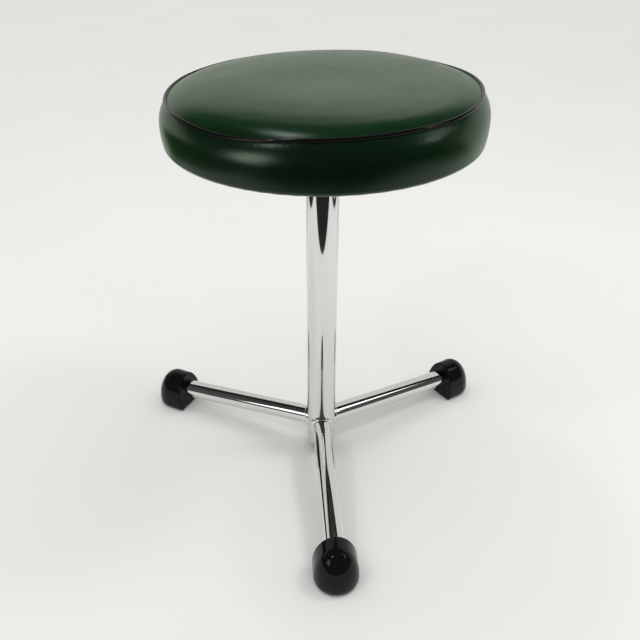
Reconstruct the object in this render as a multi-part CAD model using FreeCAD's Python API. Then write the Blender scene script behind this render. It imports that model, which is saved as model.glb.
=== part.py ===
"""Round upholstered swivel stool on a chromed tripod base.

Millimetres, +Z up. The origin is on the floor, on the axis of the column.
The front leg points along -Y, the other two stand 120 degrees to either side.
"""
import FreeCAD, Part
import math
import os

from FreeCAD import Vector

# Column and legs
column_od = 38.0
column_wall = 2.0
column_foot_height = 14.0
leg_od = 25.0
leg_wall = 1.5
leg_count = 3
leg_names = ["front", "left", "right"]
front_leg_angle = -90.0
leg_slope = 5.6
leg_height_at_column = 47.4
leg_tip_radius = 241.0
weld_width = 3.0
weld_round = 2.2

# Moulded feet pressed over the leg ends
foot_height = 50.6
foot_half_width = 26.4
foot_widest_height = 8.5
foot_sole_radius = 21.3
foot_barrel = 22.5
foot_neck_round = 2.0
foot_fit = 0.02
leg_past_dome = 5.0

# Seat upholstery, outer form
seat_top_height = 503.0
crown_rise = 12.0
crown_centre_radius = 2400.0
crown_edge_radius = 75.0
seam_radius = 168.0
band_bulge = 8.2
band_bulge_drop = 23.6
band_lower_radius = 95.0
seat_depth = 61.0
seat_edge_round = 6.0
cover_thickness = 1.2
piping_radius = 2.8
hem_width = 28.0
soft_gap = 0.15

# Seat board and its fastenings
board_thickness = 12.0
dust_cover_lap = 10.0
dust_cover_thickness = 0.8
dust_cover_gap = 2.0
staple_count = 24
staple_width = 10.0
staple_wire = 0.8
staple_leg = 6.0
staple_inset = 4.0

# Steel plate under the board
plate_radius = 70.0
plate_thickness = 5.0
screw_count = 4
screw_circle_radius = 52.0
screw_diameter = 6.0
screw_hole_gap = 0.3
screw_head_across = 10.0
screw_head_height = 4.0
tee_flange_radius = 9.5
tee_flange_thickness = 1.5
tee_barrel_radius = 4.2
tee_barrel_length = 9.0
thread_gap = 0.05

# Swivel spindle and its bearings
spindle_diameter = 25.0
spindle_length = 150.0
spindle_chamfer = 1.5
collar_diameter = 34.0
collar_height = 8.0
spindle_weld_size = 4.0
bush_length = 30.0
bush_flange_height = 3.0
bush_running_gap = 0.05
bush_press_gap = 0.02
thrust_washer_thickness = 2.0
thrust_gap = 0.1
circlip_thickness = 1.5
circlip_groove_depth = 1.2
circlip_reach = 3.2
circlip_opening = 44.0
circlip_end_gap = 0.4
spindle_tail = 8.0

# Plug in the lower end of the column
plug_depth = 12.0
plug_wall = 2.5

# Derived places
column_radius = column_od / 2
column_bore = column_radius - column_wall
leg_radius = leg_od / 2
foot_reach = leg_tip_radius - leg_past_dome
band_radius = seam_radius + band_bulge
seam_height = seat_top_height - crown_rise
seat_underside = seat_top_height - seat_depth
board_underside = seat_underside + cover_thickness
board_top = board_underside + board_thickness
plate_underside = board_underside - plate_thickness
collar_underside = plate_underside - collar_height
thrust_washer_top = collar_underside - thrust_gap
bush_flange_top = thrust_washer_top - thrust_washer_thickness
column_top = bush_flange_top - bush_flange_height
spindle_end = collar_underside - spindle_length
circlip_underside = spindle_end + spindle_tail
lower_bush_underside = circlip_underside + circlip_thickness + circlip_end_gap
spindle_radius = spindle_diameter / 2
groove_radius = spindle_radius - circlip_groove_depth
bush_bore = spindle_radius + bush_running_gap
bush_radius = column_bore - bush_press_gap

Z = Vector(0, 0, 1)
ORIGIN = Vector(0, 0, 0)


def save(name, shape):
    """Write one node and print its size."""
    shape.exportStep("parts/" + name + ".step")
    print(name, len(shape.Solids), "solid(s)", round(shape.Volume), "mm3", shape.isValid())


def ring(outer, inner, low, high):
    """Upright tube or washer between two heights."""
    solid = Part.makeCylinder(outer, high - low, Vector(0, 0, low))
    return solid.cut(Part.makeCylinder(inner, high - low, Vector(0, 0, low)))


def disc(radius, low, high):
    """Upright disc between two heights."""
    return Part.makeCylinder(radius, high - low, Vector(0, 0, low))


def at(r, z):
    """Point of the half section in the XZ plane."""
    return Vector(r, 0, z)


def line(a, b):
    """Straight edge of a half section."""
    return Part.LineSegment(a, b).toShape()


def arc(centre, radius, a, b):
    """Short arc about a centre from the direction of point a to that of point b."""
    start = (a - centre).normalize()
    end = (b - centre).normalize()
    middle = (start + end).normalize()
    points = [centre + direction * radius for direction in (start, middle, end)]
    return Part.Arc(*points).toShape()


def spun(edges):
    """Solid of revolution of a closed half section about the column axis."""
    return Part.Face(Part.Wire(Part.__sortEdges__(edges))).revolve(ORIGIN, Z, 360)


def circles_meet(c1, r1, c2, r2):
    """The meeting point of two circles of the half section that lies further out."""
    apart = c2 - c1
    d = apart.Length
    along = (d * d + r1 * r1 - r2 * r2) / (2 * d)
    half = math.sqrt(r1 * r1 - along * along)
    foot_point = c1 + apart * (along / d)
    side = Vector(-apart.z, 0, apart.x) * (half / d)
    return max(foot_point + side, foot_point - side, key=lambda p: p.x)


def leg_direction(index):
    """Unit vector down along a leg, and its angle about the column."""
    angle = front_leg_angle - index * 360.0 / leg_count
    flat = math.cos(math.radians(leg_slope))
    drop = math.sin(math.radians(leg_slope))
    x = flat * math.cos(math.radians(angle))
    y = flat * math.sin(math.radians(angle))
    return Vector(x, y, -drop), angle


class SeatForm:
    """Outer half section of the upholstery, which can be drawn inset by a skin thickness."""

    def __init__(self):
        self.seam = at(seam_radius, seam_height)
        self.crown = at(0, seat_top_height - crown_centre_radius)
        self.edge = self.crown_edge_centre()
        rise = seam_radius - band_radius
        upper = -(rise * rise + band_bulge_drop * band_bulge_drop) / (2 * rise)
        bulge_height = seam_height - band_bulge_drop
        self.upper_radius = upper
        self.upper = at(band_radius - upper, bulge_height)
        self.lower = at(band_radius - band_lower_radius, bulge_height)
        self.bulge = at(band_radius, bulge_height)
        reach = band_lower_radius - seat_edge_round
        fall = bulge_height - seat_underside - seat_edge_round
        out = math.sqrt(reach * reach - fall * fall)
        self.round = at(self.lower.x + out, seat_underside + seat_edge_round)
        self.hem_end = self.round.x - hem_width

    def crown_edge_centre(self):
        """Centre of the rounder edge arc, tangent to the crown and through the seam."""
        low, high = 0.0, math.asin(seam_radius / crown_centre_radius)
        for _ in range(60):
            turn = (low + high) / 2
            out = Vector(math.sin(turn), 0, math.cos(turn))
            centre = self.crown + out * (crown_centre_radius - crown_edge_radius)
            if (self.seam - centre).Length < crown_edge_radius:
                high = turn
            else:
                low = turn
        return centre

    def seam_at(self, inset):
        """The seam point of the section drawn inset by that much."""
        edge_radius = crown_edge_radius - inset
        return circles_meet(self.edge, edge_radius, self.upper, self.upper_radius - inset)

    def top_edges(self, inset):
        """Crown from the axis to the seam."""
        out = (self.edge - self.crown).normalize()
        apex = self.crown + Z * (crown_centre_radius - inset)
        join = self.crown + out * (crown_centre_radius - inset)
        crown = arc(self.crown, crown_centre_radius - inset, apex, join)
        edge = arc(self.edge, crown_edge_radius - inset, join, self.seam_at(inset))
        return [crown, edge], apex

    def band_upper(self, inset):
        """Band from the seam to its widest place."""
        return arc(self.upper, self.upper_radius - inset, self.seam_at(inset), self.bulge)

    def band_lower(self, inset, end):
        """Band below its widest place, down to the direction of a given point."""
        return arc(self.lower, band_lower_radius - inset, self.bulge, end)


def seat_top_cover(form):
    """Crowned vinyl panel inside the seam."""
    outer, outer_apex = form.top_edges(0)
    inner, inner_apex = form.top_edges(cover_thickness)
    seam = line(form.seam_at(0), form.seam_at(cover_thickness))
    return spun(outer + inner + [seam, line(outer_apex, inner_apex)]).cut(piping_groove(form))


def seat_side_band(form):
    """Vinyl band that hangs from the seam, bulges, turns under the board and ends in its hem."""
    edges = [line(form.seam_at(0), form.seam_at(cover_thickness))]
    for inset in (0, cover_thickness):
        sole_height = seat_underside + inset
        edges.append(form.band_upper(inset))
        edges.append(form.band_lower(inset, form.round))
        corner = form.lower + (form.round - form.lower).normalize() * (band_lower_radius - inset)
        edges.append(arc(form.round, seat_edge_round - inset, corner, at(form.round.x, sole_height)))
        edges.append(line(at(form.round.x, sole_height), at(form.hem_end, sole_height)))
    edges.append(line(at(form.hem_end, seat_underside), at(form.hem_end, board_underside)))
    return spun(edges).cut(piping_groove(form))


def seat_piping(form):
    """Round welt that is sewn into the seam."""
    return Part.makeTorus(seam_radius, piping_radius, form.seam_at(0) - at(seam_radius, 0), Z)


def piping_groove(form):
    """Room for the piping in the two covers."""
    low_centre = form.seam_at(0) - at(seam_radius, 0)
    return Part.makeTorus(seam_radius, piping_radius + soft_gap, low_centre, Z)


def seat_foam(form):
    """Foam that fills the covers above the board."""
    inset = cover_thickness + soft_gap
    floor_height = board_top
    top, apex = form.top_edges(inset)
    radius = band_lower_radius - inset
    fall = form.lower.z - floor_height
    corner = at(form.lower.x + math.sqrt(radius * radius - fall * fall), floor_height)
    edges = top + [form.band_upper(inset), form.band_lower(inset, corner)]
    edges.append(line(corner, at(0, floor_height)))
    edges.append(line(at(0, floor_height), apex))
    return spun(edges).cut(piping_groove(form))


def screw_places(height):
    """Places of the seat screws on their circle."""
    step = 360.0 / screw_count
    angles = [math.radians(step * (i + 0.5)) for i in range(screw_count)]
    return [Vector(screw_circle_radius * math.cos(a), screw_circle_radius * math.sin(a), height) for a in angles]


def seat_board(form):
    """Plywood disc with a rounded lower edge and holes for the tee nuts."""
    edge = seat_edge_round - cover_thickness - soft_gap
    blank = disc(form.round.x + edge, board_underside, board_top)
    lower = [e for e in blank.Edges if abs(e.BoundBox.ZMax - board_underside) < soft_gap and e.Closed]
    board = blank.makeFillet(edge, lower)
    holes = []
    for place in screw_places(board_underside):
        holes.append(Part.makeCylinder(tee_barrel_radius, board_thickness, place))
        recess = place + Z * (board_thickness - tee_flange_thickness)
        holes.append(Part.makeCylinder(tee_flange_radius, tee_flange_thickness, recess))
    return board.cut(holes).cut(staples(form, soft_gap))


def staples(form, room):
    """Wire staples through dust cover and hem into the board, drawn larger by some room."""
    radius = form.hem_end + staple_inset
    crown_low = seat_underside - dust_cover_thickness - staple_wire
    solids = []
    for i in range(staple_count):
        half = staple_width / 2 + room
        wire = staple_wire / 2 + room
        crown = Part.makeBox(2 * wire, 2 * half, staple_wire, Vector(radius - wire, -half, crown_low))
        legs = []
        for side in (-1, 1):
            y = side * (staple_width - staple_wire) / 2 - wire
            leg_base = Vector(radius - wire, y, crown_low)
            legs.append(Part.makeBox(2 * wire, 2 * wire, staple_wire + staple_leg + room, leg_base))
        staple = crown.fuse(legs).removeSplitter()
        staple.rotate(ORIGIN, Z, i * 360.0 / staple_count)
        solids.append(staple)
    return solids


def seat_dust_cover(form):
    """Black cloth disc stretched under the board around the plate."""
    low = seat_underside - dust_cover_thickness
    edge = form.hem_end + dust_cover_lap
    cloth = ring(edge, plate_radius + dust_cover_gap, low, seat_underside)
    return cloth.cut(staples(form, soft_gap))


def seat_plate():
    """Round steel plate that carries the board."""
    plate = disc(plate_radius, plate_underside, board_underside)
    hole = screw_diameter / 2 + screw_hole_gap
    return plate.cut([Part.makeCylinder(hole, plate_thickness, p) for p in screw_places(plate_underside)])


def seat_plate_screws():
    """Hexagon screws from below into the tee nuts."""
    screws = []
    reach = plate_thickness + board_thickness - tee_flange_thickness
    corner = screw_head_across / math.sqrt(3)
    for place in screw_places(plate_underside):
        corners = [place + Vector(corner, 0, 0)]
        for i in range(1, 6):
            turn = math.radians(60 * i)
            corners.append(place + Vector(corner * math.cos(turn), corner * math.sin(turn), 0))
        hexagon = Part.Face(Part.makePolygon(corners + [corners[0]]))
        head = hexagon.extrude(Z * -screw_head_height)
        shank = Part.makeCylinder(screw_diameter / 2, reach, place)
        screws.append(head.fuse(shank))
    return Part.makeCompound(screws)


def seat_tee_nuts():
    """Flanged nuts let into the top of the board."""
    nuts = []
    bore = screw_diameter / 2 + thread_gap
    for place in screw_places(board_top - tee_flange_thickness):
        flange = Part.makeCylinder(tee_flange_radius, tee_flange_thickness, place)
        barrel = Part.makeCylinder(tee_barrel_radius, tee_barrel_length, place - Z * tee_barrel_length)
        depth = tee_barrel_length + tee_flange_thickness
        hole = Part.makeCylinder(bore, depth, place - Z * tee_barrel_length)
        nuts.append(flange.fuse(barrel).cut(hole))
    return Part.makeCompound(nuts)


def swivel_spindle():
    """Turned bar with a collar that carries the seat and a groove for the circlip."""
    bar = disc(spindle_radius, spindle_end, collar_underside)
    lower = [e for e in bar.Edges if abs(e.BoundBox.ZMax - spindle_end) < spindle_chamfer and e.Closed]
    bar = bar.makeChamfer(spindle_chamfer, lower)
    bar = bar.fuse(disc(collar_diameter / 2, collar_underside, plate_underside))
    groove_top = circlip_underside + circlip_thickness
    return bar.cut(ring(spindle_diameter, groove_radius, circlip_underside, groove_top))


def spindle_weld():
    """Fillet weld around the collar under the plate."""
    r = collar_diameter / 2
    top = at(r, plate_underside)
    low = at(r, plate_underside - spindle_weld_size)
    out = at(r + spindle_weld_size, plate_underside)
    return spun([line(top, low), line(low, out), line(out, top)])


def spindle_circlip():
    """Open spring ring in the groove that keeps the spindle in its bushes."""
    high = circlip_underside + circlip_thickness
    clip = ring(groove_radius + circlip_reach, groove_radius, circlip_underside, high)
    mouth = 2 * groove_radius * math.sin(math.radians(circlip_opening / 2))
    reach = groove_radius + circlip_reach
    place = Vector(0, -mouth / 2, circlip_underside)
    return clip.cut(Part.makeBox(reach, mouth, circlip_thickness, place))


def upper_bush():
    """Flanged plain bearing in the top of the column."""
    body = disc(bush_radius, column_top - bush_length, column_top)
    flange = disc(column_radius, column_top, bush_flange_top)
    return body.fuse(flange).cut(disc(bush_bore, column_top - bush_length, bush_flange_top))


def lower_bush():
    """Plain bearing inside the column, above the circlip."""
    return ring(bush_radius, bush_bore, lower_bush_underside, lower_bush_underside + bush_length)


def thrust_washer():
    """Washer between the flange of the upper bush and the collar of the spindle."""
    return ring(collar_diameter / 2, bush_bore, bush_flange_top, thrust_washer_top)


def column_tube():
    """Upright tube that carries the bearings and the legs."""
    return ring(column_radius, column_bore, column_foot_height, column_top)


def column_end_plug():
    """Cup pressed into the lower end of the column."""
    top = column_foot_height + plug_depth
    cup = disc(column_bore - bush_press_gap, column_foot_height, top)
    return cup.cut(disc(column_bore - plug_wall, column_foot_height + plug_wall, top))


def leg_start():
    """Point where every leg axis leaves the column axis."""
    return Vector(0, 0, leg_height_at_column)


def leg_length():
    """Length along a leg from the column axis to its end."""
    return leg_tip_radius / math.cos(math.radians(leg_slope))


def column_core(extra):
    """Solid of the column and some skin, to cope legs and welds against."""
    reach = leg_height_at_column + leg_od
    return Part.makeCylinder(column_radius + extra, 2 * reach, Vector(0, 0, leg_height_at_column - reach))


def leg_tube(index):
    """Chromed tube, coped to the column."""
    along, _ = leg_direction(index)
    outer = Part.makeCylinder(leg_radius, leg_length(), leg_start(), along)
    inner = Part.makeCylinder(leg_radius - leg_wall, leg_length(), leg_start(), along)
    return outer.cut(inner).cut(column_core(0))


def leg_weld(index):
    """Dressed bead where a leg meets the column."""
    along, _ = leg_direction(index)
    reach = leg_length()
    bead = Part.makeCylinder(leg_radius + weld_width, reach, leg_start(), along)
    bead = bead.common(column_core(weld_width)).cut(column_core(0))
    bead = bead.cut(Part.makeCylinder(leg_radius, reach, leg_start(), along))
    crest = []
    for edge in bead.Edges:
        middle = edge.valueAt((edge.FirstParameter + edge.LastParameter) / 2)
        from_column = math.hypot(middle.x, middle.y) - column_radius
        from_leg = middle.distanceToLine(leg_start(), along) - leg_radius
        if min(from_column, from_leg) > weld_width - weld_round / 10:
            crest.append(edge)
    return bead.makeFillet(weld_round, crest)


def quarter_ellipse(centre, a, b):
    """Quarter of an ellipse about a centre between the ends of its two half axes."""
    ends = sorted((a, b), key=lambda end: -(end - centre).Length)
    whole = Part.Ellipse(ends[0], ends[1], centre)
    first, last = whole.parameter(a), whole.parameter(b)
    if (last - first) % (2 * math.pi) > math.pi:
        first, last = last, first
    return Part.ArcOfEllipse(whole, first, last).toShape()


def foot_half_section():
    """Half section of a foot: flat sole, rounded lower edge and tall dome."""
    widest = at(foot_half_width, foot_widest_height)
    sole = at(foot_sole_radius, 0)
    crest = at(0, foot_height)
    lower = quarter_ellipse(at(foot_sole_radius, foot_widest_height), sole, widest)
    upper = quarter_ellipse(at(0, foot_widest_height), widest, crest)
    edges = [line(at(0, 0), sole), lower, upper, line(crest, at(0, 0))]
    return Part.Face(Part.Wire(Part.__sortEdges__(edges)))


def foot(index):
    """Moulded foot: a dome with a flat sole, drawn out towards its leg to a flat neck face."""
    along, angle = leg_direction(index)
    half = foot_half_section()
    dome = half.revolve(ORIGIN, Z, 360)
    draw = Vector(-foot_barrel - foot_half_width, 0, 0)
    barrel = []
    for side in (90, -90):
        face = half.copy()
        face.rotate(ORIGIN, Z, side)
        barrel.append(face.extrude(draw))
    body = dome.fuse(barrel).removeSplitter()
    size = 4 * foot_height
    beyond = Part.makeBox(size, size, size, Vector(-foot_barrel - size, -size / 2, -size / 2))
    beyond.rotate(Vector(-foot_barrel, 0, 0), Vector(0, 1, 0), leg_slope)
    body = body.cut(beyond)
    neck_edges = []
    for edge in body.Edges:
        ends = [vertex.Point for vertex in edge.Vertexes]
        lean = math.tan(math.radians(leg_slope))
        if all(abs(end.x + foot_barrel - end.z * lean) < foot_fit for end in ends):
            neck_edges.append(edge)
    body = body.makeFillet(foot_neck_round, neck_edges)
    body.translate(Vector(foot_reach, 0, 0))
    body.rotate(ORIGIN, Z, angle)
    socket = Part.makeCylinder(leg_radius + foot_fit, leg_length(), leg_start(), along)
    return body.cut(socket)


def main():
    os.makedirs("parts", exist_ok=True)
    form = SeatForm()
    save("seat_top_cover", seat_top_cover(form))
    save("seat_side_band", seat_side_band(form).cut(staples(form, soft_gap)))
    save("seat_piping", seat_piping(form))
    save("seat_foam", seat_foam(form))
    save("seat_board", seat_board(form))
    save("seat_dust_cover", seat_dust_cover(form))
    save("cover_staples", Part.makeCompound(staples(form, 0)))
    save("seat_plate", seat_plate())
    save("seat_plate_screws", seat_plate_screws())
    save("seat_tee_nuts", seat_tee_nuts())
    save("swivel_spindle", swivel_spindle())
    save("spindle_weld", spindle_weld())
    save("spindle_circlip", spindle_circlip())
    save("thrust_washer", thrust_washer())
    save("upper_bush", upper_bush())
    save("lower_bush", lower_bush())
    save("column_tube", column_tube())
    save("column_end_plug", column_end_plug())
    for index, name in enumerate(leg_names):
        save("leg_tube_" + name, leg_tube(index))
        save("leg_weld_" + name, leg_weld(index))
        save("foot_" + name, foot(index))


main()
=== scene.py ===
# %% [markdown]
# A low swivel stool, dressed for a portrait. The frame below holds every hard piece at its real size: the
# chromed column and legs, the moulded feet, the board, plate and spindle. This lesson adds what a solid
# model can't say: the stretched vinyl of the cushion, the piping in its seam, the cloth underneath and the
# finish of every surface. Everything is in metres, in the frame's own place.

# %% Load the frame
import math

import bpy
import numpy as np
from mathutils import Matrix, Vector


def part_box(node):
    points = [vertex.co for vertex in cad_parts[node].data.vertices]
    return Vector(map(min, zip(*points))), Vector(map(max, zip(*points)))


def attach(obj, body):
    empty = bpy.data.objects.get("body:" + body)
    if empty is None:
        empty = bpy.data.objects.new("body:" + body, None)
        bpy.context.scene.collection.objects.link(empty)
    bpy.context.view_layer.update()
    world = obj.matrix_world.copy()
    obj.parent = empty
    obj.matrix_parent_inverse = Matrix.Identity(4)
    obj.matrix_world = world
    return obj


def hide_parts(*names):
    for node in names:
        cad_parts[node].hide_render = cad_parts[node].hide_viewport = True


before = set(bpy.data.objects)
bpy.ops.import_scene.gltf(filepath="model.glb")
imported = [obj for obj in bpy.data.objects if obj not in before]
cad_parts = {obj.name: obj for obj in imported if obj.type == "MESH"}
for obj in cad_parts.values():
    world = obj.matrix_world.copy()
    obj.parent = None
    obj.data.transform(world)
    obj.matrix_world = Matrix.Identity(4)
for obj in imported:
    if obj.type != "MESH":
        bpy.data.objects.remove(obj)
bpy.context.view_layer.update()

# %% [markdown]
# The cushion, the piping and the cloth take their sizes from the solids they stand for, so a stool of
# another size is dressed by the same lines. The box of a solid is its low corner and its high corner.

# %% Measure the seat
piping_low, piping_high = np.array(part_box("seat_piping"))
band_low, band_high = np.array(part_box("seat_side_band"))
cloth_low, cloth_high = np.array(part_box("seat_dust_cover"))
panel_high = np.array(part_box("seat_top_cover"))[1]
plate_high = np.array(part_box("seat_plate"))[1]

welt_radius = (piping_high[2] - piping_low[2]) / 2
seam_radius = piping_high[0] - welt_radius
seam_height = (piping_high[2] + piping_low[2]) / 2
seat_top = panel_high[2]
band_radius = band_high[0]
seat_underside = band_low[2]
print("seat: seam", round(seam_radius, 4), "band", round(band_radius, 4), "top", round(seat_top, 4))

# %% [markdown]
# Every soft surface here is a grid of rings. The cushion goes row by row from the middle of its top, round
# the rim, to the middle of its underside. One helper joins neighbouring rings with quads, one closes both
# ends with a fan, one carries a circle along a closed path, and one gives an even ripple.


# %% Grid helpers
def ring_faces(rows, columns):
    """Quads between neighbouring rows of a grid whose last column joins its first."""
    row, column = np.meshgrid(np.arange(rows - 1), np.arange(columns), indexing="ij")
    beside = (column + 1) % columns
    quad = [row * columns + column, (row + 1) * columns + column]
    quad += [(row + 1) * columns + beside, row * columns + beside]
    return np.stack(quad, axis=-1).reshape(-1, 4)


def mesh_of(name, points, faces):
    """Mesh object of an array of points and a list of faces, shaded smooth."""
    mesh = bpy.data.meshes.new(name)
    mesh.from_pydata(points.tolist(), [], faces)
    mesh.polygons.foreach_set("use_smooth", np.ones(len(mesh.polygons), bool))
    mesh.update()
    piece = bpy.data.objects.new(name, mesh)
    bpy.context.scene.collection.objects.link(piece)
    return piece


def capped_stack(name, grid):
    """Closed mesh of rings (rows, columns, 3) from the top middle down, with a fan at each end."""
    rows, columns = grid.shape[:2]
    last = (rows - 1) * columns
    column = np.arange(columns)
    beside = (column + 1) % columns
    poles = np.stack([grid[0].mean(0), grid[-1].mean(0)])
    top_fan = np.stack([np.full(columns, rows * columns), column, beside], axis=-1)
    low_fan = np.stack([last + beside, last + column, np.full(columns, rows * columns + 1)], axis=-1)
    faces = ring_faces(rows, columns).tolist() + top_fan.tolist() + low_fan.tolist()
    return mesh_of(name, np.concatenate([grid.reshape(-1, 3), poles]), faces)


def ring_tube(name, path, radius, sides):
    """Closed tube along a closed path (points, 3) round Z: a circle that stands in the plane of Z and of
    the direction away from the axis, carried along with a radius of its own at each point."""
    away = path * [1, 1, 0]
    away = away / np.linalg.norm(away, axis=1, keepdims=True)
    turn = -np.linspace(0, 2 * math.pi, sides, endpoint=False)[:, None, None]
    side = np.cos(turn) * away + np.sin(turn) * np.array([0, 0, 1.0])
    grid = path + side * radius[:, None]
    faces = ring_faces(sides + 1, len(path)) % (sides * len(path))
    return mesh_of(name, grid.reshape(-1, 3), faces.tolist())


def rippled(angle):
    """Even ripple between 0 and 1 along an angle."""
    return 0.5 + 0.5 * np.cos(angle)


print("grid helpers ready")

# %% [markdown]
# The cushion. On the real stool a round panel and a long band of vinyl are sewn together over a piping
# cord, pulled over a foam pad and stapled under the board. The vinyl is held at the seam and at the hem and
# swells between them. So the shape starts a little slack, and a cloth simulation with air pressure blows it
# up. A formula alone would give an even dome, and stretched vinyl is flatter in the middle and rounder at
# its edge.

# %% Slack cushion
columns = 240
panel_rows = 40
band_rows = 22
round_rows = 8
hem_rows = 5
first_angle = 0.02
slack_share = 0.9
seam_sink = 0.0010
crown_power = 11
dome_share = 0.10
bulge_drop = 0.0236
lower_bow = 0.095
edge_round = 0.006
hem_width = 0.028
hem_rise = 0.005


def bowed(rise, half_height, height):
    """How far an arc of that rise over that half height stands out at a height from its crest."""
    radius = (rise ** 2 + half_height ** 2) / (2 * rise)
    return np.sqrt(radius ** 2 - height ** 2) - radius


def cushion_section(slack):
    """Half section (rows, 2) of radius and height. The panel falls with a high power of the radius, so it
    is flat in the middle and round at its edge. The band is one arc from the seam to its widest place and
    a flatter one below it, then come a quarter round and a flat hem that ends inside the board."""
    share = np.sin(np.linspace(first_angle, math.pi / 2, panel_rows))
    panel_r = (seam_radius - seam_sink) * share
    fall = dome_share * share ** 2 + (1 - dome_share) * share ** crown_power
    panel_z = seam_height + (seat_top - seam_height) * slack * (1 - fall)
    edge_height = seat_underside + edge_round
    bulge_height = seam_height - bulge_drop
    band_z = np.linspace(seam_height, edge_height, band_rows + 1)[1:]
    upper = bowed(band_radius - seam_radius, bulge_drop, np.clip(band_z - bulge_height, 0, None))
    below = np.clip(bulge_height - band_z, 0, None)
    lower = np.sqrt(lower_bow ** 2 - below ** 2) - lower_bow
    band_r = seam_radius + (band_radius - seam_radius + upper + lower) * slack
    edge_centre = band_r[-1] - edge_round
    turn = np.linspace(0, math.pi / 2, round_rows + 1)[1:]
    round_r = edge_centre + edge_round * np.cos(turn)
    round_z = seat_underside + edge_round * (1 - np.sin(turn))
    hem_end = edge_centre - hem_width
    hem_r = np.linspace(edge_centre, hem_end, hem_rows + 1)[1:]
    hem_z = seat_underside + np.repeat([0, hem_rise], [hem_rows, 2])
    section_r = np.concatenate([panel_r, band_r, round_r, hem_r, [hem_end, hem_end / 2]])
    section_z = np.concatenate([panel_z, band_z, round_z, hem_z])
    return np.stack([section_r, section_z], axis=1)


def spun(section, count):
    """Rings (rows, count, 3) of a half section turned about Z."""
    turn = np.linspace(0, 2 * math.pi, count, endpoint=False)
    radius = section[:, :1]
    height = np.broadcast_to(section[:, 1:], (len(section), count))
    return np.stack([radius * np.cos(turn), radius * np.sin(turn), height], axis=-1)


slack_grid = spun(cushion_section(slack_share), columns)
seam_row = panel_rows - 1
hem_row = panel_rows + band_rows + round_rows // 2
print("slack cushion:", slack_grid.shape[0], "rows of", columns)

# %% [markdown]
# The simulation runs on a throwaway copy. The seam and everything past the lower edge are pinned, gravity is
# off, and a point may move only so far. Only the moved points are kept, and they are then eased to the
# measured height and radius, so the finished cushion has the size of the solid that it stands for.

# %% Blow the cushion up
air_pressure = 0.4
sim_frames = 20
swell_limit = 0.002
tiny = 1e-9


def blown_up(grid):
    """Points of the grid after cloth simulation with air pressure, with seam and hem held."""
    piece = capped_stack("slack_cushion", grid)
    rows, count = grid.shape[:2]
    held_rows = np.concatenate([[seam_row], np.arange(hem_row, rows)])
    held = (held_rows[:, None] * count + np.arange(count)).ravel().tolist()
    piece.vertex_groups.new(name="held").add(held + [rows * count + 1], 1.0, "REPLACE")
    cloth = piece.modifiers.new("cloth", "CLOTH")
    settings = cloth.settings
    settings.quality = 6
    settings.mass = 0.4
    settings.tension_stiffness = 12
    settings.compression_stiffness = 12
    settings.shear_stiffness = 6
    settings.bending_stiffness = 1.5
    settings.use_pressure = True
    settings.uniform_pressure_force = air_pressure
    settings.vertex_group_mass = "held"
    settings.effector_weights.gravity = 0
    cloth.collision_settings.use_collision = False
    for step in range(1, sim_frames + 1):
        bpy.context.scene.frame_set(step)
    settled = piece.evaluated_get(bpy.context.evaluated_depsgraph_get())
    moved = np.empty(len(settled.data.vertices) * 3, np.float32)
    settled.data.vertices.foreach_get("co", moved)
    bpy.context.scene.frame_set(1)
    mesh = piece.data
    bpy.data.objects.remove(piece)
    bpy.data.meshes.remove(mesh)
    return moved.reshape(-1, 3)[: rows * count].reshape(grid.shape).astype(float)


def swollen(grid):
    """The slack grid moved by the simulation, no point further than the limit."""
    move = blown_up(grid) - grid
    length = np.linalg.norm(move, axis=-1, keepdims=True)
    print("swelling: up to", round(float(length.max()) * 1000, 2), "mm")
    return grid + move * np.minimum(1, swell_limit / np.maximum(length, tiny))


def to_size(grid):
    """Eases the crown above the seam to the seat's height and the band past the seam to its radius."""
    sized = grid.copy()
    crown = sized[: seam_row + 1, :, 2] - seam_height
    sized[: seam_row + 1, :, 2] = seam_height + crown * (seat_top - seam_height) / crown.max(0).mean()
    band = sized[seam_row + 1:]
    radius = np.hypot(band[..., 0], band[..., 1])
    past = radius - seam_radius
    wanted = seam_radius + past * (band_radius - seam_radius) / past.max(0).mean()
    band[..., :2] *= (wanted / radius)[..., None]
    return sized


cushion_grid = to_size(swollen(slack_grid))
print("cushion: apex", np.round(cushion_grid[0, :, 2].max(), 4), "m")

# %% [markdown]
# No hand sews evenly. The seam of this cushion rides a little higher on its right side and dips in two
# places, and the stitches pull the band into small puckers just under the piping. Under the rim the hem is
# gathered into pleats. All of it comes after the simulation, on a grid with more columns, because a pucker
# is narrower than a simulated quad.

# %% Sew the seam
fine_columns = 720
slow_waves = 12
seam_rise = 0.0010
seam_lean = 0.0050
seam_wander = 0.0005
seam_dips = {-129: 0.0028, 34: 0.0022}
dip_width = math.radians(20)
still_share = 0.35
lean_power = 2.5
wander_power = 10
rim_lean = 0.0045
rim_share = 0.9
rim_width = 0.012
side_swell = 0.0026
swell_reach = 0.008
pucker_count = 160
pucker_depth = 0.00022
pucker_reach = 0.005
pleat_count = 54
pleat_depth = 0.0009
pleat_reach = 0.02


def finer(grid, count):
    """The same rings with more columns. Each ring's slow Fourier terms, padded with zeros, give the new
    points; the quick ones are small radial wrinkles, and tight vinyl has none."""
    terms = np.fft.rfft(grid, axis=1)
    terms[:, slow_waves:] = 0
    return np.fft.irfft(terms, n=count, axis=1) * count / grid.shape[1]


def leaning(turn):
    """How far the whole rim lies above its level place, at each angle: one slow lean."""
    return seam_rise + seam_lean * np.cos(turn)


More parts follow.
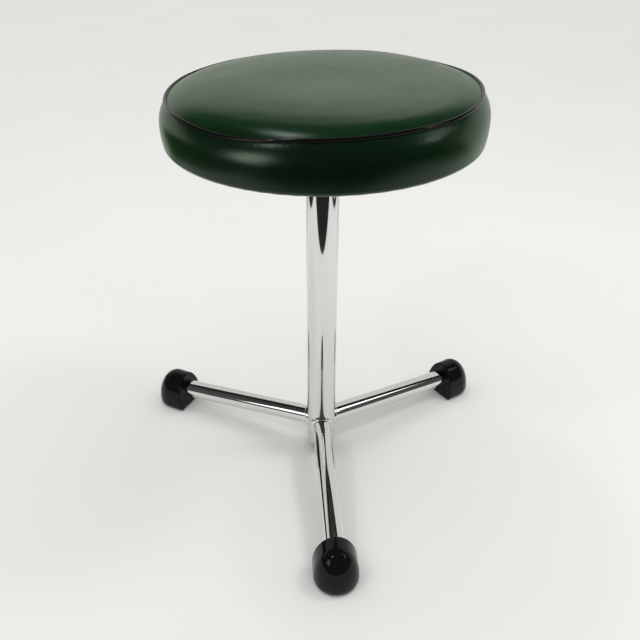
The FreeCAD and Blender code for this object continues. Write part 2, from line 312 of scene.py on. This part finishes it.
def wandering(turn):
    """Uneven sewing of the seam alone: a few slow waves of different length, less a dip at some angles."""
    waves = np.sin(3 * turn + 0.4) + 0.7 * np.sin(5 * turn + 2.1) + 0.5 * np.sin(8 * turn + 4.0)
    offset = seam_wander * waves
    for angle, depth in seam_dips.items():
        past_dip = np.angle(np.exp(1j * (turn - math.radians(angle))))
        offset = offset - depth * np.exp(-(past_dip / dip_width) ** 2)
    return offset


def sewn(grid):
    """Moves rows near the seam with it, fading out towards the middle and the lower edge. Then it lowers
    the rim at the left, fills the band at the right, and pulls in puckers below the seam and pleats in
    the hem."""
    shaped = grid.copy()
    turn = np.linspace(0, 2 * math.pi, grid.shape[1], endpoint=False)
    away = np.stack([np.cos(turn), np.sin(turn), 0 * turn], axis=-1)
    radius = np.hypot(grid[..., 0], grid[..., 1])
    height = grid[..., 2]
    row = np.arange(len(grid))[:, None]
    panel = row <= seam_row
    on_panel = np.clip((radius - still_share * seam_radius) / ((1 - still_share) * seam_radius), 0, 1)
    on_band = np.clip((height - seat_underside - edge_round) / (seam_height - seat_underside), 0, 1)
    on_band = np.where(row <= hem_row, on_band, 0)
    shaped[..., 2] += np.where(panel, on_panel ** lean_power, on_band) * leaning(turn)
    shaped[..., 2] += np.where(panel, on_panel ** wander_power, on_band) * wandering(turn)
    rim = np.where(panel, 0, 1 - on_band) * np.clip((radius - rim_share * seam_radius) / rim_width, 0, 1)
    shaped[..., 2] -= rim * rim_lean * (1 - np.cos(turn)) / 2
    below = np.clip(seam_height - height, 0, None)
    uneven = 0.75 + 0.25 * np.sin(2 * turn - 0.6)
    pucker = pucker_depth * uneven * rippled(pucker_count * turn) * np.exp(-below / pucker_reach)
    pucker = np.where(~panel & (row <= hem_row), pucker, 0)
    fuller = side_swell * (1 + np.cos(turn)) / 2 * np.where(panel, 0, 1 - np.exp(-below / swell_reach))
    shaped += (fuller - pucker)[..., None] * away
    gather = np.clip((band_radius - radius) / pleat_reach, 0, 1)
    pleat = pleat_depth * gather * rippled(pleat_count * turn + 3 * np.sin(3 * turn))
    shaped[..., 2] -= np.where((row > hem_row) & (row < len(grid) - 2), pleat, 0)
    return shaped


seat_cushion = capped_stack("seat_cushion", sewn(finer(cushion_grid, fine_columns)))
print("seat_cushion:", len(seat_cushion.data.polygons), "faces")

# %% [markdown]
# The piping is a cord wrapped in black vinyl and caught in the seam. It is a circle carried along the same
# uneven line as the seam, a little thicker and thinner as it goes.

# %% Piping
welt_points = 720
welt_sides = 20
welt_unevenness = 0.03
welt_pull = 0.75

turn = np.linspace(0, 2 * math.pi, welt_points, endpoint=False)
welt_height = seam_height + leaning(turn) + wandering(turn)
welt_path = np.stack([seam_radius * np.cos(turn), seam_radius * np.sin(turn), welt_height], axis=-1)
welt_swell = 1 + welt_unevenness * np.sin(11 * turn) * np.sin(4 * turn + 1)
seat_welt = ring_tube("seat_welt", welt_path, welt_radius * welt_pull * welt_swell, welt_sides)
print("seat_welt:", len(seat_welt.data.polygons), "faces")

# %% [markdown]
# Under the seat a black cloth keeps dust out of the pad. It is a flat ring, cut round the plate and stapled
# to the hem, so it is drawn between its staples and sags a touch between its two edges.

# %% Dust cloth
plate_clearance = 0.002
cloth_outer = cloth_high[0]
cloth_inner = plate_high[0] + plate_clearance
cloth_thickness = cloth_high[2] - cloth_low[2]
staple_count = 24
staple_pull = 0.35
cloth_sag = 0.0016
cloth_rows = 14
cloth_columns = 288


def dust_cloth_grid():
    """Rings of a thin closed ring of cloth: out along its upper face and back along its lower face. It
    sags by a half sine across its width, less at each staple."""
    turn = np.linspace(0, 2 * math.pi, cloth_columns, endpoint=False)
    across = np.linspace(0, 1, cloth_rows)[:, None]
    drawn = 1 - staple_pull * across * rippled(staple_count * turn)
    radius = cloth_inner + (cloth_outer - cloth_inner) * across + 0 * turn
    sag = cloth_sag * np.sin(math.pi * across) * drawn
    low = np.stack([radius * np.cos(turn), radius * np.sin(turn), cloth_low[2] - sag], axis=-1)
    high = low + [0, 0, cloth_thickness]
    return np.concatenate([high, low[::-1]])


cloth_grid = dust_cloth_grid()
cloth_faces = ring_faces(2 * cloth_rows + 1, cloth_columns) % (2 * cloth_rows * cloth_columns)
dust_cloth = mesh_of("dust_cloth", cloth_grid.reshape(-1, 3), cloth_faces.tolist())
print("dust_cloth:", len(dust_cloth.data.polygons), "faces")

# %% [markdown]
# Finishes. A shader is a sum of small ideas, so it is written as sums: one class wraps an output socket, and
# adding or multiplying two of them adds a Math node. A second class is one material, with a method for any
# other node.


# %% Shader helpers
class Value:
    """An output socket that takes part in sums."""

    def __init__(self, finish, socket):
        self.finish = finish
        self.socket = socket

    def joined(self, operation, first, second):
        return self.finish.node("Math", {"operation": operation}, {0: first, 1: second})

    def __add__(self, other):
        return self.joined("ADD", self, other)

    def __radd__(self, other):
        return self.joined("ADD", other, self)

    def __sub__(self, other):
        return self.joined("SUBTRACT", self, other)

    def __rsub__(self, other):
        return self.joined("SUBTRACT", other, self)

    def __mul__(self, other):
        return self.joined("MULTIPLY", self, other)

    def __rmul__(self, other):
        return self.joined("MULTIPLY", other, self)


class Finish:
    """One material: a Principled shader and the nodes that feed it."""

    def __init__(self, name, constants):
        self.material = bpy.data.materials.new(name)
        self.material.use_nodes = True
        self.tree = self.material.node_tree
        self.shader = self.tree.nodes["Principled BSDF"]
        self.feed(self.shader, constants)
        self.place = Value(self, self.tree.nodes.new("ShaderNodeTexCoord").outputs["Object"])

    def feed(self, node, inputs):
        """Sets or links the sockets of a node."""
        for key, value in inputs.items():
            if isinstance(value, Value):
                self.tree.links.new(value.socket, node.inputs[key])
            else:
                node.inputs[key].default_value = value

    def node(self, kind, settings, inputs, output=0):
        """Any node by its type, its settings and its sockets."""
        node = self.tree.nodes.new("ShaderNode" + kind)
        for key, value in settings.items():
            setattr(node, key, value)
        self.feed(node, inputs)
        return Value(self, node.outputs[output])

    def stretched(self, scale):
        """Object coordinates multiplied by a scale for each axis."""
        return self.node("Mapping", {}, {"Vector": self.place, "Scale": scale})

    def height(self):
        """Height above the floor."""
        return self.node("SeparateXYZ", {}, {0: self.place}, 2)

    def noise(self, scale, detail, place=None):
        """Grey noise about one half; scale is in waves per metre."""
        inputs = {"Vector": place or self.place, "Scale": scale, "Detail": detail, "Roughness": 0.55}
        return self.node("TexNoise", {}, inputs)

    def cells(self, scale):
        """Distance from the nearest cell middle; scale is in cells per metre."""
        return self.node("TexVoronoi", {}, {"Vector": self.place, "Scale": scale})

    def bands(self, axis, scale, distortion):
        """Even bands across one axis, a little bent."""
        inputs = {"Vector": self.place, "Scale": scale, "Distortion": distortion}
        return self.node("TexWave", {"bands_direction": axis}, inputs)

    def step(self, value, low, high):
        """Rises from 0 to 1 as the value passes from low to high."""
        inputs = {"Value": value, "From Min": low, "From Max": high}
        return self.node("MapRange", {"interpolation_type": "SMOOTHSTEP"}, inputs)

    def blend(self, share, first, second):
        """Colour between two colours."""
        return self.node("Mix", {"data_type": "RGBA"}, {0: share, 6: first, 7: second}, 2)

    def bumped(self, height, distance, strength):
        """Normal of a surface raised by a height map."""
        return self.node("Bump", {}, {"Height": height, "Distance": distance, "Strength": strength})

    def wear(self, *names):
        """Puts this finish on CAD nodes or pieces."""
        for name in names:
            slots = bpy.data.objects[name].data.materials
            slots.clear()
            slots.append(self.material)


def rgb(red, green, blue):
    """Linear colour with full alpha."""
    return (red, green, blue, 1.0)


print("shader helpers ready")

# %% [markdown]
# Green vinyl: a deep bottle green with a fine pressed grain, smooth enough to mirror a bright wall at a low
# angle. The grain is noise about a millimetre across, the colour drifts slowly, faint streaks run across the
# panel, and handling has polished some patches more than others. A little green sheen stands for the light
# that the skin scatters at a low angle. Below the seam the colour is blended to a darker green: painted
# shade for the band, which gets less light than the panel.

# %% Green vinyl
deep_green = rgb(0.0018, 0.0120, 0.0050)
light_green = rgb(0.0026, 0.0165, 0.0066)
grain_green = rgb(0.0012, 0.0080, 0.0036)
streak_green = rgb(0.0036, 0.0225, 0.0090)
# Painted shade: a darker green for the band below the seam, not a colour of the vinyl itself.
band_shade_green = rgb(0.0005, 0.0046, 0.0022)
grain_share = 0.3
streak_share = 0.28
band_shade_share = 0.75
band_shade_from = float(seam_height) - 0.012
panel_from = float(seam_height) + 0.006

vinyl = Finish("green_vinyl", {
    "IOR": 1.48,
    "Specular IOR Level": 0.38,
    "Specular Tint": rgb(0.80, 1.0, 0.80),
    "Sheen Weight": 0.085,
    "Sheen Roughness": 0.5,
    "Sheen Tint": rgb(0.12, 1.0, 0.10),
})
drift = vinyl.noise(9, 4)
grain = vinyl.noise(850, 2)
streak = vinyl.noise(60, 2, vinyl.stretched((0.35, 2.2, 1.0)))
rubbed = vinyl.noise(26, 5)
# Painted shade: the colour turns darker below the seam, for the band that gets less light than the top
# panel.
on_band = 1 - vinyl.step(vinyl.height(), band_shade_from, panel_from)
vinyl_colour = vinyl.blend(vinyl.step(drift, 0.3, 0.7), deep_green, light_green)
vinyl_colour = vinyl.blend(vinyl.step(grain, 0.35, 0.65) * grain_share, vinyl_colour, grain_green)
vinyl_colour = vinyl.blend(vinyl.step(streak, 0.35, 0.70) * streak_share, vinyl_colour, streak_green)
vinyl_colour = vinyl.blend(on_band * band_shade_share, vinyl_colour, band_shade_green)
vinyl.feed(vinyl.shader, {
    "Base Color": vinyl_colour,
    "Roughness": 0.22 + vinyl.step(rubbed, 0.3, 0.75) * 0.05,
    "Normal": vinyl.bumped(grain, 0.0004, 0.28),
})
vinyl.wear("seat_cushion")
print("green vinyl ready")

# %% [markdown]
# Black piping: the same kind of vinyl, smoother and shinier, with fine cross creases where it was bent round
# the cord.

# %% Black piping
piping = Finish("black_piping", {"IOR": 1.32})
piping_mottle = piping.noise(120, 3)
piping_crease = piping.noise(900, 2)
piping.feed(piping.shader, {
    "Base Color": piping.blend(piping_mottle, rgb(0.003, 0.0032, 0.0034), rgb(0.006, 0.0064, 0.0064)),
    "Roughness": 0.06 + piping_mottle * 0.08,
    "Normal": piping.bumped(piping_crease, 0.0003, 0.05),
})
piping.wear("seat_welt")
print("black piping ready")

# %% [markdown]
# Chrome: a mirror that is nearly white. What makes it look real is what breaks the mirror: a faint haze,
# upright hair scratches and a few tiny pits.

# %% Chrome
bright_chrome = rgb(0.755, 0.76, 0.752)
pitted_chrome = rgb(0.30, 0.29, 0.27)

chrome = Finish("chrome", {"Metallic": 1.0})
haze = chrome.noise(14, 4)
scratch = chrome.noise(260, 2, chrome.stretched((1.0, 1.0, 0.06)))
pitted = (1 - chrome.step(chrome.cells(420), 0.035, 0.07)) * chrome.step(chrome.noise(30, 2), 0.55, 0.75)
chrome.feed(chrome.shader, {
    "Base Color": chrome.blend(pitted * 0.5, bright_chrome, pitted_chrome),
    "Roughness": 0.035 + chrome.step(haze, 0.3, 0.8) * 0.04 + pitted * 0.2,
    "Normal": chrome.bumped(scratch, 0.0002, 0.02),
})
legs = ["front", "left", "right"]
chrome.wear("column_tube", *["leg_tube_" + leg for leg in legs], *["leg_weld_" + leg for leg in legs])
print("chrome ready")

# %% [markdown]
# Black feet: moulded glossy plastic with a slight orange-peel ripple, hairline scuffs and a dusting of floor
# dirt near the sole.

# %% Black plastic
moulded_black = rgb(0.0055, 0.0056, 0.0052)
scuffed_black = rgb(0.018, 0.018, 0.017)
floor_dirt = rgb(0.045, 0.043, 0.038)
dirt_height = 0.014

plastic = Finish("black_plastic", {"IOR": 1.5, "Specular IOR Level": 0.18})
ripple = plastic.noise(170, 2)
scuff = plastic.step(plastic.noise(420, 3, plastic.stretched((1.0, 0.12, 1.0))), 0.62, 0.72)
near_floor = 1 - plastic.step(plastic.height(), 0.0, dirt_height)
dirt = near_floor * plastic.step(plastic.noise(140, 5), 0.4, 0.7)
plastic_colour = plastic.blend(scuff * 0.25, moulded_black, scuffed_black)
plastic.feed(plastic.shader, {
    "Base Color": plastic.blend(dirt * 0.5, plastic_colour, floor_dirt),
    "Roughness": 0.08 + scuff * 0.10 + dirt * 0.3,
    "Normal": plastic.bumped(ripple, 0.0006, 0.05),
})
plastic.wear("column_end_plug", *["foot_" + leg for leg in legs])
print("black plastic ready")

# %% [markdown]
# The hidden side: black cloth with an open weave, black painted steel, zinc on screws and staples, turned
# bare steel, natural nylon and the plies of the board.

# %% Hidden finishes
cloth = Finish("dust_cloth", {"Sheen Weight": 0.3})
weave = cloth.bands("X", 260.0, 0.6) * 0.5 + cloth.bands("Y", 260.0, 0.6) * 0.5
cloth.feed(cloth.shader, {
    "Base Color": cloth.blend(weave, rgb(0.008, 0.008, 0.008), rgb(0.032, 0.031, 0.030)),
    "Roughness": 0.85 + weave * 0.1,
    "Normal": cloth.bumped(weave, 0.0004, 0.5),
})
cloth.wear("dust_cloth")

paint = Finish("black_steel", {"IOR": 1.5})
peel = paint.noise(520, 2)
chip = paint.step(paint.noise(75, 5), 0.66, 0.70)
paint.feed(paint.shader, {
    "Base Color": paint.blend(chip, rgb(0.018, 0.018, 0.018), rgb(0.16, 0.15, 0.14)),
    "Roughness": 0.38 + peel * 0.16,
    "Metallic": chip * 0.8,
    "Normal": paint.bumped(peel, 0.0004, 0.12),
})
paint.wear("seat_plate", "spindle_weld")

zinc = Finish("zinc_steel", {"Metallic": 1.0})
dull = zinc.noise(210, 4)
zinc.feed(zinc.shader, {
    "Base Color": zinc.blend(dull, rgb(0.46, 0.46, 0.44), rgb(0.68, 0.68, 0.66)),
    "Roughness": 0.28 + dull * 0.25,
    "Normal": zinc.bumped(dull, 0.0003, 0.15),
})
zinc.wear("cover_staples", "seat_plate_screws", "seat_tee_nuts")

steel = Finish("bare_steel", {"Metallic": 1.0})
lathe = steel.noise(900, 2, steel.stretched((0.05, 0.05, 1.0)))
oil = steel.noise(60, 4)
steel.feed(steel.shader, {
    "Base Color": steel.blend(oil, rgb(0.38, 0.38, 0.38), rgb(0.56, 0.56, 0.55)),
    "Roughness": 0.22 + oil * 0.2,
    "Normal": steel.bumped(lathe, 0.0003, 0.2),
})
steel.wear("swivel_spindle", "spindle_circlip")

nylon = Finish("nylon", {"Subsurface Weight": 0.05})
cloud = nylon.noise(160, 3)
nylon.feed(nylon.shader, {
    "Base Color": nylon.blend(cloud, rgb(0.70, 0.67, 0.60), rgb(0.82, 0.80, 0.74)),
    "Roughness": 0.42 + cloud * 0.15,
    "Normal": nylon.bumped(cloud, 0.0003, 0.1),
})
nylon.wear("upper_bush", "lower_bush", "thrust_washer")

wood = Finish("plywood", {"IOR": 1.45})
ply = wood.bands("Z", 160.0, 0.3)
fibre = wood.noise(90, 5, wood.stretched((0.1, 2.0, 1.0)))
wood.feed(wood.shader, {
    "Base Color": wood.blend(fibre * 0.6 + ply * 0.4, rgb(0.36, 0.23, 0.12), rgb(0.60, 0.44, 0.27)),
    "Roughness": 0.55 + fibre * 0.2,
    "Normal": wood.bumped(fibre, 0.0005, 0.2),
})
wood.wear("seat_board")
print("hidden finishes ready")

# %% [markdown]
# Each new piece now moves with the seat, and the solids that it stands for are hidden.

# %% Tie the pieces to the frame
new_pieces = {"green_vinyl": seat_cushion, "black_piping": seat_welt, "dust_cloth": dust_cloth}
for slot_name, piece in new_pieces.items():
    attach(piece, "seat")
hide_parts("seat_top_cover", "seat_side_band", "seat_foam")
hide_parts("seat_piping")
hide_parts("seat_dust_cover")
print("pieces:", [piece.name for piece in new_pieces.values()])

# %% [markdown]
# The studio. The stool stands on a wide pale floor. Chrome and gloss show what is around them, so the room
# matters as much as the lamps: a pale wall behind, the end of the pale floor in front and at the sides, and
# the dim room past the wall. All of that is cards which only reflections see, so every other view still has
# the same pale floor.

# %% Floor and cards
wall_place = 0.48
wall_turn = math.radians(-4.0)
wall_glow = 0.16
wall_top = 0.82
wall_end = 0.61
gap_width = 0.015
low_part = 0.34
pale_front = -0.62
pale_side = 0.84
edge_strip = 0.06
pale_end = 1.12
lift = 0.001
far = 4.0


def card(name, places, material):
    """Flat four-cornered sheet that belongs to the studio."""
    mesh = bpy.data.meshes.new(name)
    mesh.from_pydata(places, [], [(0, 1, 2, 3)])
    mesh.materials.append(material)
    sheet = bpy.data.objects.new(name, mesh)
    bpy.context.scene.collection.objects.link(sheet)
    return sheet


def seen_in_gloss_only(sheet):
    """Hides a card from everything but reflections."""
    sheet.visible_camera = False
    sheet.visible_diffuse = False
    sheet.visible_shadow = False
    sheet.visible_transmission = False
    sheet.visible_volume_scatter = False


def along_wall(x, forward, height):
    """Point of the studio given along the wall, out from it and up."""
    cosine = math.cos(wall_turn)
    sine = math.sin(wall_turn)
    return (x * cosine - forward * sine, x * sine + forward * cosine, height)


def upright(low, high, forward, left=-far, right=far):
    """Four corners of a card that stands along the wall between two heights."""
    places = ((left, low), (right, low), (right, high), (left, high))
    return [along_wall(x, forward, height) for x, height in places]


def flat(left, right, front, back, height):
    """Four corners of a card that lies on the floor."""
    places = ((left, front), (right, front), (right, back), (left, back))
    return [along_wall(x, forward, height) for x, forward in places]


paper = Finish("paper", {"Roughness": 0.9, "Specular IOR Level": 0.0})
paper_tone = paper.blend(paper.noise(3, 3), rgb(0.80, 0.80, 0.785), rgb(0.84, 0.84, 0.83))
paper.feed(paper.shader, {"Base Color": paper_tone})
backdrop = Finish("backdrop", {"Roughness": 0.9, "Specular IOR Level": 0.0, "Emission Strength": wall_glow})
backdrop_tone = backdrop.blend(backdrop.noise(3, 3), rgb(0.80, 0.80, 0.76), rgb(0.84, 0.84, 0.80))
backdrop.feed(backdrop.shader, {"Base Color": backdrop_tone, "Emission Color": backdrop_tone})
dark_tone = rgb(0.02, 0.02, 0.02)
dark = Finish("dark_card", {"Base Color": dark_tone, "Roughness": 1.0, "Specular IOR Level": 0.0})

card("floor", flat(-far, far, -far, far, 0), paper.material)
seen_in_gloss_only(card("wall", upright(0, far, wall_place), backdrop.material))
cards = {
    "card_front": flat(-far, far, -far, pale_front, lift),
    "card_left": flat(-far, -pale_side, pale_front, wall_place, lift),
    "card_right": flat(pale_side, pale_side + edge_strip, pale_front, wall_place, lift),
    "card_far_right": flat(pale_end, far, pale_front, wall_place, lift),
    "card_above": upright(wall_top, far, wall_place - lift),
    "card_gap": upright(0, far, wall_place - lift, -wall_end - gap_width, -wall_end),
    "card_beside": upright(0, low_part, wall_place - 2 * lift, -far, -wall_end),
}
for name, places in cards.items():
    seen_in_gloss_only(card(name, places, dark.material))
print("studio:", len(cards), "dark cards")

# %% [markdown]
# A bright window stands at each side in front, with a small bulb beside it. On the tubes a window is a white
# streak that runs along the whole leg, and on the satin band a bulb is a soft patch of light.

# %% Windows
window_distance = 1.5
window_white = rgb(1, 1, 0.98)
windows = {
    "window_left": (-56, 10, 0.40, 0.92, 2.4),
    "window_right": (82, 9, 1.05, 1.60, 2.0),
    "bulb_left": (-50, 2.6, 0.46, 0.76, 62.0),
    "bulb_right": (70, 2.6, 0.94, 1.08, 14.0),
}


def window(name, middle, half_angle, low, high, glow):
    """Upright bright card that spans some degrees either side of a direction, counted from the front."""
    ends = [math.radians(middle + side * half_angle) for side in (-1, 1)]
    first, second = [(window_distance * math.sin(end), -window_distance * math.cos(end)) for end in ends]
    places = [(*first, low), (*second, low), (*second, high), (*first, high)]
    constants = {"Base Color": rgb(0, 0, 0), "Emission Color": window_white, "Emission Strength": glow}
    seen_in_gloss_only(card(name, places, Finish(name, constants).material))


for name, measures in windows.items():
    window(name, *measures)
print("windows:", len(windows))

# %% [markdown]
# Light. A pale sky fills every shadow, and three soft lamps stand at the left in front, at the right and
# overhead. Mirror images of the first and the last are the glints on the piping and on the feet. The sky is
# brightest overhead. Reflections meet a dim room instead, and the camera sees an even pale grey.

# %% Lamps and world
fill_low = 0.06
fill_high = 1.40
room_low = 0.08
room_high = 0.04
pale_grey = 0.825
sky_tint = rgb(1.0, 1.0, 0.985)
low_sky = 0.2
high_sky = 0.95
seat_middle = (0, 0, 0.45)
lamps = {
    "lamp_left": ((-1.00, -0.78, 1.68), 0.12, 2.5),
    "lamp_right": ((0.95, 0.0, 1.50), 0.30, 4.0),
    "lamp_above": ((-0.32, 0.40, 1.75), 0.12, 1.6),
}


def looking(place, look, roll=0.0):
    """Matrix of something that stands at a place and looks along a direction, rolled about it: its columns
    are right, up, back and the place."""
    look = np.array(look) / np.linalg.norm(look)
    right = np.cross(look, [0, 0, 1])
    right = right / np.linalg.norm(right)
    up = np.cross(right, look)
    matrix = np.eye(4)
    matrix[:3, 0] = right * math.cos(roll) + up * math.sin(roll)
    matrix[:3, 1] = up * math.cos(roll) - right * math.sin(roll)
    matrix[:3, 2] = -look
    matrix[:3, 3] = place
    return Matrix(matrix.tolist())


for name, (place, size, power) in lamps.items():
    light_data = bpy.data.lights.new(name, "AREA")
    light_data.size = size
    light_data.energy = power
    light = bpy.data.objects.new(name, light_data)
    light.matrix_world = looking(place, np.array(seat_middle) - np.array(place))
    bpy.context.scene.collection.objects.link(light)
bpy.data.objects["lamp_right"].visible_glossy = False

world = bpy.data.worlds.new("studio")
world.use_nodes = True
bpy.context.scene.world = world
tree = world.node_tree
background = tree.nodes["Background"]
ray = tree.nodes.new("ShaderNodeLightPath")
direction = tree.nodes.new("ShaderNodeTexCoord")
split = tree.nodes.new("ShaderNodeSeparateXYZ")
tree.links.new(direction.outputs["Generated"], split.inputs[0])


def by_height(low, high):
    """World level that goes from one value at the horizon to another overhead."""
    level = tree.nodes.new("ShaderNodeMapRange")
    level.interpolation_type = "SMOOTHSTEP"
    for socket, value in {"From Min": low_sky, "From Max": high_sky, "To Min": low, "To Max": high}.items():
        level.inputs[socket].default_value = value
    tree.links.new(split.outputs[2], level.inputs["Value"])
    return level.outputs[0]


sky_or_room = tree.nodes.new("ShaderNodeMix")
tree.links.new(ray.outputs["Is Glossy Ray"], sky_or_room.inputs[0])
tree.links.new(by_height(fill_low, fill_high), sky_or_room.inputs[2])
tree.links.new(by_height(room_low, room_high), sky_or_room.inputs[3])
seen = tree.nodes.new("ShaderNodeMix")
seen.inputs[3].default_value = pale_grey
tree.links.new(ray.outputs["Is Camera Ray"], seen.inputs[0])
tree.links.new(sky_or_room.outputs[0], seen.inputs[2])
tree.links.new(seen.outputs[0], background.inputs["Strength"])
background.inputs["Color"].default_value = sky_tint
print("lamps:", len(lamps), "and a world")

# %% [markdown]
# The camera stands where the photographer stood: a little left of the middle, about shoulder height of
# someone kneeling, looking down by some 31 degrees.

# %% Camera
camera_place = (-0.0667, -0.8514, 0.7250)
camera_heading = math.radians(-4.33)
camera_pitch = math.radians(31.48)
camera_roll = math.radians(0.34)
lens = 44.73
sensor = 36.0

level = math.cos(camera_pitch)
camera_look = (-math.sin(camera_heading) * level, math.cos(camera_heading) * level, -math.sin(camera_pitch))
camera_data = bpy.data.cameras.new("camera")
camera_data.sensor_fit = "HORIZONTAL"
camera_data.sensor_width = sensor
camera_data.lens = lens
camera = bpy.data.objects.new("camera", camera_data)
camera.matrix_world = looking(camera_place, camera_look, camera_roll)
bpy.context.scene.collection.objects.link(camera)
bpy.context.scene.camera = camera
bpy.context.scene.view_settings.view_transform = "Standard"
print("camera at", camera_place)
